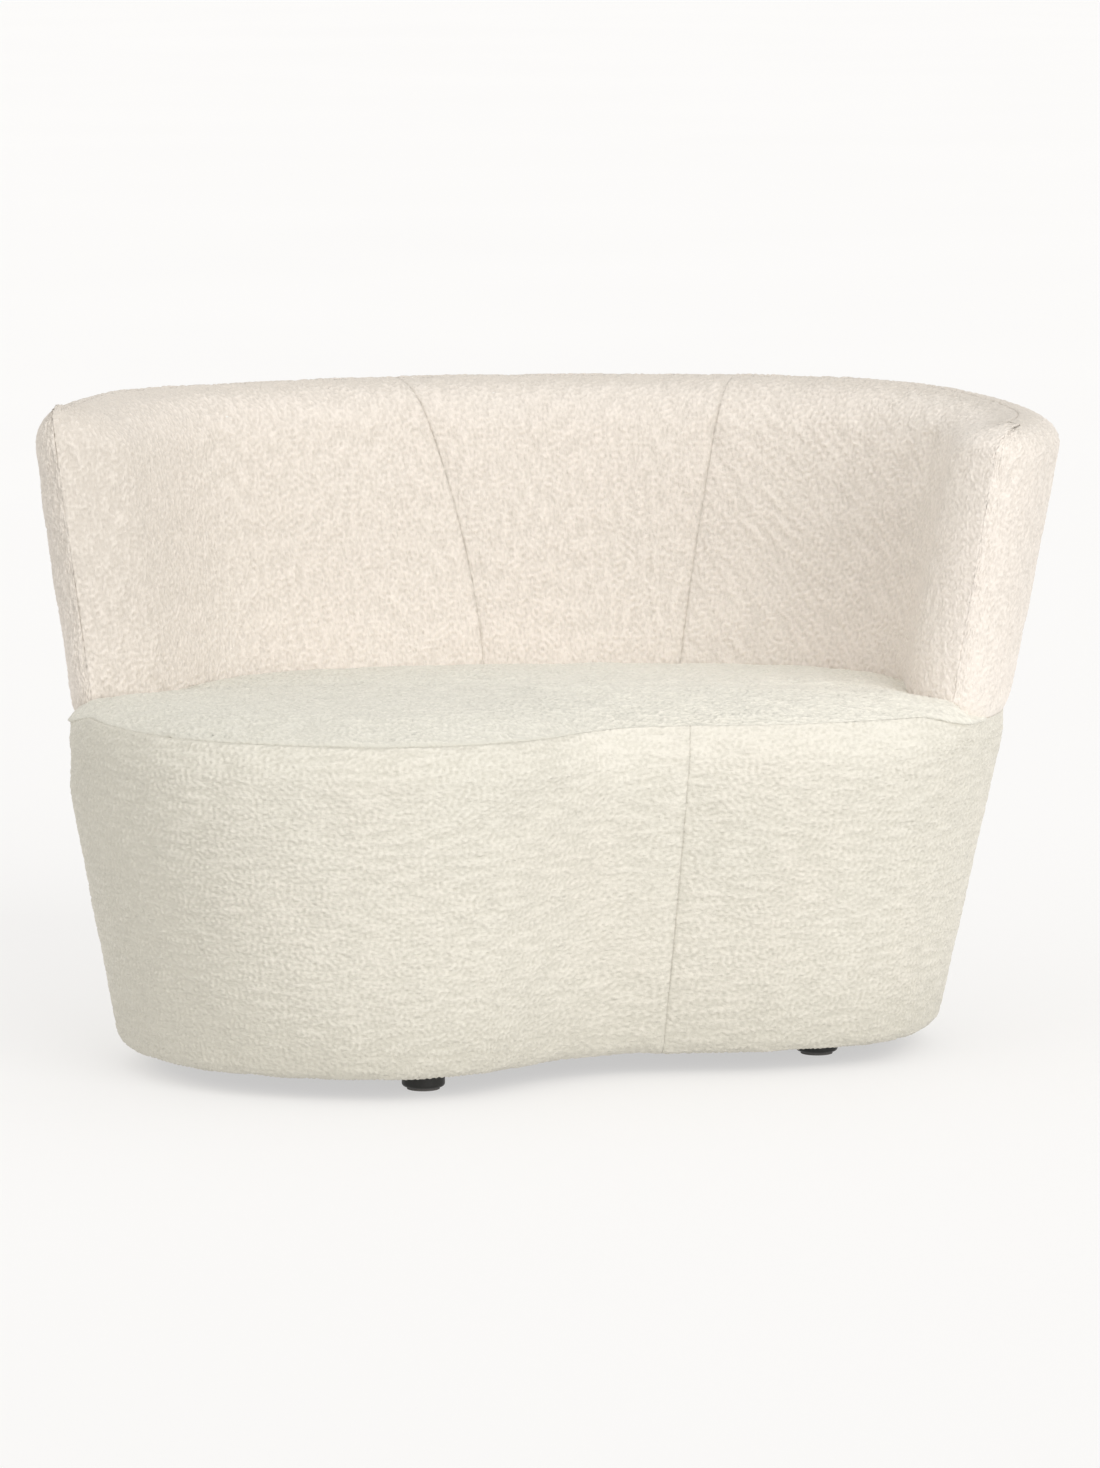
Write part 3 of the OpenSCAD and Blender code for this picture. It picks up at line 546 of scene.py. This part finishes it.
def add_cover(name, points, normals, pile, painted_shade_and_seams, material):
    """A closed cover: the fine grid outside, a coarse copy of it inside, and a wall all round
    the edge that joins each coarse edge to the fine points along it."""
    rows, cols = points.shape[:2]
    k = BACK_STEP
    index = np.arange(rows*cols).reshape(rows, cols)
    front = np.stack([index[:-1, :-1], index[:-1, 1:], index[1:, 1:], index[1:, :-1]], -1)
    inner = (points - normals*COVER_T)[::k, ::k]
    back_index = rows*cols + np.arange(inner.shape[0]*inner.shape[1]).reshape(inner.shape[:2])
    back = np.stack([back_index[:-1, :-1], back_index[1:, :-1], back_index[1:, 1:],
                     back_index[:-1, 1:]], -1)
    wall_faces = []
    for fine, coarse in ((index[0], back_index[0]), (index[:, -1], back_index[:, -1]),
                         (index[-1, ::-1], back_index[-1, ::-1]),
                         (index[::-1, 0], back_index[::-1, 0])):
        own = np.arange(len(fine) - 1)
        near = (own + k//2)//k
        wall_faces.append(np.stack([fine[:-1], coarse[near], fine[1:]], -1))
        turn = np.arange(k//2, len(fine) - 1, k)
        wall_faces.append(np.stack([fine[turn], coarse[turn//k], coarse[turn//k + 1]], -1))
    quads = np.vstack([front.reshape(-1, 4), back.reshape(-1, 4)])
    tris = np.vstack(wall_faces)
    corners = np.r_[quads.reshape(-1), tris.reshape(-1)]
    starts = np.r_[np.arange(len(quads))*4, quads.size + np.arange(len(tris))*3]
    verts = np.vstack([points.reshape(-1, 3), inner.reshape(-1, 3)])
    mesh = bpy.data.meshes.new(name)
    mesh.vertices.add(len(verts))
    mesh.vertices.foreach_set("co", verts.reshape(-1).astype(np.float32))
    mesh.loops.add(len(corners))
    mesh.loops.foreach_set("vertex_index", corners.astype(np.int32))
    mesh.polygons.add(len(starts))
    mesh.polygons.foreach_set("loop_start", starts.astype(np.int32))
    smooth = np.zeros(len(starts), dtype=bool)
    smooth[:len(quads)] = True
    mesh.polygons.foreach_set("use_smooth", smooth)
    mesh.update(calc_edges=True)
    # the pile's height, and the field of painted shade, painted light and dark seam lines
    for label, field in (("pile", pile), ("painted_shade_and_seams", painted_shade_and_seams)):
        full = np.zeros(len(verts), dtype=np.float32)
        full[:rows*cols] = np.broadcast_to(field, (rows, cols)).reshape(-1)
        mesh.attributes.new(label, "FLOAT", "POINT").data.foreach_set("value", full)
    mesh.materials.append(material)
    obj = bpy.data.objects.new(name, mesh)
    bpy.context.scene.collection.objects.link(obj)
    return obj


# ---------------------------------------------------------------- base border
def border_top(s):
    """Where the border ends: the seat seam in front, the joint with the backrest behind."""
    w = settle(s)
    off = mix(-SHOULDER_W*(1 - math.cos(SEAM_TURN)), wall(s, JOINT_Z), w)
    return off, mix(WIDEST_Z + SHOULDER_H*math.sin(SEAM_TURN), JOINT_Z, w)


def border_surface(s0, s1, pitch):
    """Border of the base between two seams. Rows run from under the hem, round the bottom
    edge, up the sloping wall and over the shoulder to the seat seam, or at the rear straight
    up to the joint with the backrest."""
    under = 22*MM
    knots = np.array([0, under, HEM_R*1.57, WIDEST_Z - BOTTOM_Z - HEM_R, SHOULDER_H*0.8])
    reach = np.cumsum(knots)
    v = np.linspace(0, reach[-1], count(reach[-1], pitch))[:, None]
    s = np.linspace(s0, s1, count(s1 - s0, pitch))[None, :]
    hem = np.clip(v/under, 0, 1)
    bend = np.clip((v - reach[1])/knots[2], 0, 1)*math.pi/2
    climb = np.clip((v - reach[2])/knots[3], 0, 1)
    up = np.clip((v - reach[3])/knots[4], 0, 1)
    turn = SEAM_TURN*up
    z_wall = BOTTOM_Z + HEM_R*(1 - np.cos(bend)) + climb*knots[3]
    z_rear = mix(WIDEST_Z, JOINT_Z, up)
    away = np.mod(s - SEAM_FRONT + LOOP/2, LOOP) - LOOP/2
    s_flat = s
    s = s + mix(-10*MM, 12*MM, v/reach[-1])*np.clip(1 - np.abs(away)/0.25, 0, 1)
    w = settle(s)
    z = np.where(up > 0, mix(WIDEST_Z + SHOULDER_H*np.sin(turn), z_rear, w), z_wall + 0*s)
    low = wall(s, z_wall) - HEM_R*(1 - np.sin(bend)) - under*(1 - hem)
    top = mix(-SHOULDER_W*(1 - np.cos(turn)), wall(s, z_rear), w)
    points = np.dstack([plan(s + 0*v, np.where(up > 0, top, low)), z])
    side_gap = np.minimum(s_flat - s0, s1 - s_flat) + 0*v
    return points, s, v + 0*s, side_gap, reach[-1] - v + 0*s


def seat_seam(s):
    """How clearly the seat seam shows: drawn tight round the left lobe, and lost in the pile
    from the middle of the front to the right arm."""
    past = np.mod(s + LOOP/2, LOOP) - LOOP/2
    lost = ease((past + 120*MM)/(90*MM))*ease((TIP_R - 40*MM - past)/(60*MM))
    return (1 - 0.9*lost)*(1 - settle(s))


def border_panel(name, s0, s1, pitch, painted_shade_and_seams, material):
    """The border's surface with its pile, and seams at its sides and along its top."""
    points, u, v, side_gap, top_gap = border_surface(s0, s1, pitch)
    upright = 1 - 0.6*ease(1 - top_gap/(60*MM))
    reach, depth = JOINT_BELOW
    dip = (groove(side_gap, *BORDER_SEAM)*upright + groove(top_gap, *SEAT_SEAM)*seat_seam(u)
           + depth*(1 - ease(top_gap/reach))*settle(u))
    # at the waist's hem the cover is let out a little, clear of the padding under it
    waist = np.mod(u - SEAM_FRONT + LOOP/2, LOOP) - LOOP/2 + 70*MM
    dip = dip - 2*MM*hump(waist, 110*MM)*hump(v - 34*MM, 26*MM)
    points = points + stuffed(points, 2.5*MM)
    pile = sample(LOOPS_FLAT, u, v)
    normals = grid_normals(points)
    points = points + raised(normals, pile, sample(WAVES, u, v, 8*MM), dip,
                             np.minimum(side_gap, top_gap))
    line = seam_line(side_gap, BORDER_LINE) + seam_line(top_gap, SEAT_LINE)*seat_seam(u)
    # painted light along the rounded top of the border's front right, where the seat seam is lost in
    # the pile
    painted_edge_light = (1 - seat_seam(u))*(1 - settle(u))*hump(top_gap, 70*MM)
    return add_cover(name, points, normals, pile, painted_shade_and_seams(u, v) + line - painted_edge_light, material)


# ---------------------------------------------------------------- seat
def seat_top(p, up):
    """Height of the seat's top: crowned in the middle and falling a little to the rear."""
    y = p[..., 1] - centring[1]
    return SEAT_Z + SEAT_CROWN*up - SEAT_DROP*(y + HALF_D)/(2*HALF_D)


def seat_panel(name, cols, rows, material):
    """Seat cover. A square grid is rounded into a disc; the disc's angle picks a place along
    the outline and its radius the way from the edge over the shoulder to the middle. In front
    the edge is the seam with the border; behind it presses into the backrest."""
    mid = np.array([-0.06*HALF_W, -0.03*HALF_D]) + centring
    a = np.linspace(-1, 1, BACK_STEP*(cols//BACK_STEP) + 1)[None, :]
    b = np.linspace(-1, 1, BACK_STEP*(rows//BACK_STEP) + 1)[:, None]
    x, y = a*np.sqrt(1 - b**2/2), b*np.sqrt(1 - a**2/2)
    s_all = np.linspace(0, LOOP, 1600, endpoint=False)
    w = settle(s_all)
    behind = ease((s_all - TIP_R - 40*MM)/(60*MM))*ease((TIP_L - 40*MM - s_all)/(60*MM))
    foot = foot_depth(s_all) - wall(s_all, JOINT_Z)
    seam_off, seam_z = border_top(s_all)
    fields = {
        "edge_off": mix(seam_off, SEAT_TUCK - foot, behind),
        "edge_z": mix(seam_z, SEAT_Z - SEAT_SUNK, behind),
        "end_off": mix(-SHOULDER_W, -foot - 12*MM, w),
        "round_len": mix(SHOULDER_W*0.85, REAR_ROUND, w),
        "front": 1 - w,
    }
    edge = plan(s_all, fields["edge_off"])
    angle = np.unwrap(np.arctan2((edge[:, 1] - mid[1])/HALF_D, (edge[:, 0] - mid[0])/HALF_W))
    wanted = np.mod(np.arctan2(y, x) - angle[0], 2*math.pi) + angle[0]
    s = np.interp(wanted, np.r_[angle, angle[0] + 2*math.pi], np.r_[s_all, LOOP])
    f = {key: np.interp(s, s_all, field, period=LOOP) for key, field in fields.items()}
    across = np.linalg.norm(plan(s, f["end_off"]) - mid, axis=-1)
    way = (1 - np.minimum(np.hypot(x, y), 1))*(f["round_len"] + across)
    turn = mix(SEAM_TURN, math.pi/2, np.clip(way/f["round_len"], 0, 1))
    g = np.clip((way - f["round_len"])/across, 0, 1)
    out = (math.cos(SEAM_TURN) - np.cos(turn))/math.cos(SEAM_TURN)
    lift = (np.sin(turn) - math.sin(SEAM_TURN))/(1 - math.sin(SEAM_TURN))
    p = mix(plan(s, mix(f["edge_off"], f["end_off"], out)), mid, g[..., None])
    z = mix(f["edge_z"], seat_top(p, 1 - (1 - g)**2), lift)
    points = np.dstack([p, z])
    u, v = p[..., 0], p[..., 1] - f["front"]*0.5*(1 - lift)*20*MM
    dip = groove(way, *SEAT_SEAM)*seat_seam(s)
    points = points + stuffed(points, 5*MM)
    pile = sample(LOOPS_FLAT, u, v)
    normals = grid_normals(points)
    points = points + raised(normals, pile, sample(WAVES, u, v, 8*MM), dip, way)
    # the seam's dark line, with painted shade growing towards the left and painted light towards the
    # right
    painted_shade_and_seams = seam_line(way, SEAT_LINE)*seat_seam(s) + 0.3 - 1.1*p[..., 0]/HALF_W
    return add_cover(name, points, normals, pile, painted_shade_and_seams, material)


# ---------------------------------------------------------------- backrest
def arm_fill(s):
    """Extra padding on an arm's inner face, just behind its rounded front end."""
    right, left = (np.clip((gap - 20*MM)/(320*MM), 0, 1)*math.pi
                   for gap in (np.mod(s, LOOP) - TIP_R, TIP_L - np.mod(s, LOOP)))
    return RIGHT_FILL*np.sin(right)**2 + LEFT_FILL*np.sin(left)**2


def back_point(s, phi, end, z, ring, side):
    """A point of the backrest: phi is how far round the arm's front end it lies (0 at the tip,
    a quarter turn where the end meets the straight part), ring how far the level is drawn in,
    and side -1 for the seat's side, 1 for the outside."""
    tip = np.where(end > 0, TIP_R + NOSE - (NOSE - ring)*np.cos(phi),
                   TIP_L - NOSE + (NOSE - ring)*np.cos(phi))
    s = np.where(end == 0, s, tip)
    half = (HALF_T - ring)*np.sin(phi)
    fuller = np.where(side < 0, arm_fill(s)*np.sin(phi)*(1 - ring/HALF_T), 0)
    p = plan(s, wall(s, z) - mix(TIP_MID, HALF_T, np.sin(phi)) + side*half - fuller)
    return np.dstack([p, z + 0*s])


TURN_STEPS = 120           # points on the turn round each arm's front end


def back_path(samples=1500):
    """The way along the inner face at mid height from the right tip to the left: the place
    along the outline, how far round an end it is, and the length so far."""
    phi = np.linspace(0, math.pi/2, TURN_STEPS)
    middle = np.linspace(TIP_R + NOSE, TIP_L - NOSE, samples)[1:-1]
    s = np.r_[np.full(TURN_STEPS, TIP_R + NOSE), middle, np.full(TURN_STEPS, TIP_L - NOSE)]
    turn = np.r_[phi, np.full(len(middle), math.pi/2), phi[::-1]]
    end = np.r_[np.ones(TURN_STEPS), np.zeros(len(middle)), -np.ones(TURN_STEPS)]
    p = back_point(s[None], turn[None], end[None], mix(JOINT_Z, ROLL_Z, 0.5), 0, -1)[0]
    return s, turn, np.r_[0, np.cumsum(np.linalg.norm(np.diff(p, axis=0), axis=1))]


def slant(up):
    """How far the two inner seams stray from plumb, in metres along the back, at a height from
    0 at the seat to 1 at the crest: the left one leans left and the right one right."""
    return LEFT_SLANT*up**1.7, RIGHT_SLANT*up**1.2


def back_surface(pitch):
    """The whole backrest as one grid. Columns run from the right tip to the left; rows climb
    the outside, cross the crest and come down the seat's side. Each level above the roll is
    drawn in like the quarter of an ellipse. Columns near the two seams lean with them."""
    s_all, turn_all, length = back_path()
    total = length[-1]
    rise, roll = ROLL_Z - JOINT_Z, 80*MM
    half_rows = count(rise + roll, pitch) - 1
    climb = np.linspace(0, rise + roll, half_rows + 1)
    v = np.r_[climb, climb[::-1][1:]][:, None]
    side = np.r_[np.ones(half_rows), 0, -np.ones(half_rows)][:, None]
    shares = [0, RIGHT_SEAM, LEFT_SEAM, 1]
    counts = [count((b - a)*total, pitch) - 1 for a, b in zip(shares, shares[1:])]
    marks = np.cumsum([0] + counts)
    share = np.interp(np.arange(marks[-1] + 1), marks, shares)[None, :]
    up = np.where(side < 0, np.clip(v/(rise + roll), 0, 1), 1)
    left, right = slant(up)
    bent = (left*np.interp(share, shares, [0, 0, 1, 0])
            - right*np.interp(share, shares, [0, 1, 0, 0]))
    q = share*total + bent
    phi, s = np.interp(q, length, turn_all), np.interp(q, length, s_all)
    end = np.where(q < length[TURN_STEPS - 1], 1, np.where(q > length[-TURN_STEPS], -1, 0))
    over = np.clip((v - rise)/roll, 0, 1)*math.pi/2
    # the crest stands a little higher on the left arm and lower on the right
    arms = 4*MM*hump(TIP_L - 190*MM - s, 110*MM) - 2.5*MM*hump(s - TIP_R - 90*MM, 140*MM)
    z = JOINT_Z + np.minimum(v, rise) + (roll_rise(s) + arms)*np.sin(over)
    points = back_point(s, phi, end, z, HALF_T*(1 - np.cos(over)) + 0*q, side)
    points = points + stuffed(points, 2.5*MM, [half_rows], marks[1:-1])
    normals = grid_normals(points)
    for edge, near in ((0, 1), (-1, -2)):
        both = normals[:, edge] + normals[::-1, edge]
        both[half_rows] = normals[half_rows, near]
        normals[:, edge] = both/np.linalg.norm(both, axis=-1, keepdims=True)
    seam_gap = np.minimum(np.abs(q - (RIGHT_SEAM*total - right)),
                          np.abs(q - (LEFT_SEAM*total + left)))
    seam_gap = np.where(side < 0, seam_gap, 1.0)
    pile = sample(LOOPS_UP, side*q, v + 0*q)
    twisted = sample(LOOPS_FLAT, (q + v)*0.7, (v - q)*0.7)
    pile = np.where((side < 0) & (share < RIGHT_SEAM) & (q > 0.1), twisted, pile)
    for edge in (0, -1):
        pile[:, edge] = (pile[:, edge] + pile[::-1, edge])/2
    dip = groove(seam_gap, *BACK_SEAM) + groove(v + 0*q, *JOINT_ABOVE)*(side > 0)
    points = points + raised(normals, pile, sample(WAVES, side*q, v + 0*q, 8*MM), dip,
                             np.minimum(seam_gap, rise + roll - v + 4*MM*(abs(share - 0.5) < 0.49)))
    # painted shade along the crest and towards the left tip, painted light low down, on the right
    # arm's tip and on its inner face, and the dark seam lines
    painted_shade_and_seams = (2.2*hump(v - rise - roll, 26*MM) - hump(v, 110*MM) + 0.9*hump(total - q, 260*MM)
           - 1.2*hump(q, 70*MM) - 0.6*hump(q - 240*MM, 130*MM)*(side < 0)
           + seam_line(seam_gap, BACK_LINE))
    return points, normals, pile, painted_shade_and_seams, half_rows, marks


def finish_piece(obj, slot, fill, *nodes):
    """Puts a cover on the body, in the place of its CAD nodes."""
    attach(obj, "root")
    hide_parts(*nodes)


FINE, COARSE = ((2.1*MM, 2.9*MM))
# one boucle in three colours, each a lit and a shaded colour; the seat's paler and the base's darker
# colours are partly painted light and shade
base_fabric = looped_pile("boucle_base", (0.765, 0.74, 0.655), (0.58, 0.553, 0.475), (0.6, 0.6, 1))
seat_fabric = looped_pile("boucle_seat", (0.82, 0.80, 0.715), (0.64, 0.62, 0.545), (0.7, 0.7, 0.7))
back_fabric = looped_pile("boucle_back", (0.84, 0.785, 0.715), (0.64, 0.585, 0.52), (1, 1, 0.6))


def painted_hem_shade(_, v):
    """Painted shade, darker towards the hem and the same all the way round, with a little painted
    light higher up.
    """
    return 1.6*hump(v, 90*MM) - 0.2


def painted_left_front_shade(u, v):
    """The border's left front: the painted hem shade, and painted shade in a broad leaning streak as
    well.
    """
    return painted_hem_shade(u, v) + 1.6*hump(u - LOOP + 620*MM + 0.35*v, 190*MM)


for label, s0, s1, pitch, painted_shade_and_seams in (("front_left", SEAM_LEFT, LOOP + SEAM_FRONT, FINE, painted_left_front_shade),
                                  ("front_right", SEAM_FRONT, SEAM_RIGHT, FINE, painted_hem_shade),
                                  ("back", SEAM_RIGHT, SEAM_LEFT, COARSE, painted_hem_shade)):
    finish_piece(border_panel("base_border_" + label, s0, s1, pitch, painted_shade_and_seams, base_fabric),
                 "boucle_base", 0.9, "base_cover_" + label)
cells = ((480, 336))
finish_piece(seat_panel("seat_top_cover", *cells, seat_fabric), "boucle_seat", 0.85, "seat_cover")

back = back_surface(FINE)
crest, marks = back[4:]
finish_piece(add_cover("back_outer_cover", *(grid[:crest + 1] for grid in back[:4]), back_fabric),
             "boucle_back", 0.9, "back_cover_outer")
for label, first, last in zip(("right", "centre", "left"), marks, marks[1:]):
    part = (slice(crest, None), slice(first, last + 1))
    finish_piece(add_cover("back_inner_" + label, *(grid[part] for grid in back[:4]), back_fabric),
                 "boucle_back", 0.9, "back_cover_" + label)

# ---------------------------------------------------------------- finishes of the frame's nodes
FINISHES = {
    "lining": fibre("lining", (0.035, 0.035, 0.037), (0.012, 0.012, 0.013), 900, (1, 1, 1)),
    "felt": fibre("felt", (0.16, 0.15, 0.14), (0.07, 0.068, 0.065), 700, (1, 1, 1)),
    "black_wood": stained_foot("black_wood"),
    "zinc_steel": zinc("zinc_steel"),
    "plywood": grained_wood("plywood", (0.62, 0.45, 0.27), (0.42, 0.28, 0.15), 60, 0.6),
    "timber": grained_wood("timber", (0.60, 0.43, 0.25), (0.38, 0.25, 0.13), 80, 0.65),
    "bent_board": grained_wood("bent_board", (0.42, 0.29, 0.17), (0.30, 0.20, 0.11), 140, 0.7),
    "webbing": fibre("webbing", (0.06, 0.06, 0.062), (0.015, 0.015, 0.016), 500, (1, 0.2, 1)),
    "wadding": fibre("wadding", (0.88, 0.87, 0.84), (0.70, 0.69, 0.66), 220, (1, 1, 0.4)),
    "foam": open_foam("foam", (0.86, 0.77, 0.52), (0.66, 0.56, 0.34), 450),
    "boucle_base": base_fabric,
    "boucle_seat": seat_fabric,
    "boucle_back": back_fabric,
}
for part in frame["record"]["subparts"]:
    for material_slot in frame["nodes"][part["node"]].material_slots:
        material_slot.material = FINISHES[part["material_slot"]]


def make_floor():
    """A wide pale floor, lit from below like a light table, so that its shadow is faint."""
    look = Look("pale_floor", roughness=0.9, Emission_Strength=0.55)
    cloud = look.noise(0.6, 2, 0.4)
    look.colour(look.mix(cloud, (0.34, 0.337, 0.333), (0.36, 0.357, 0.353)))
    look.set("Emission Color", (1.0, 0.99, 0.98, 1.0))
    mesh = bpy.data.meshes.new("floor")
    reach = 60
    mesh.from_pydata([(-reach, -reach, 0), (reach, -reach, 0), (reach, reach, 0), (-reach, reach, 0)],
                     [], [(0, 1, 2, 3)])
    mesh.materials.append(look.material)
    floor = bpy.data.objects.new("floor", mesh)
    bpy.context.scene.collection.objects.link(floor)


make_floor()
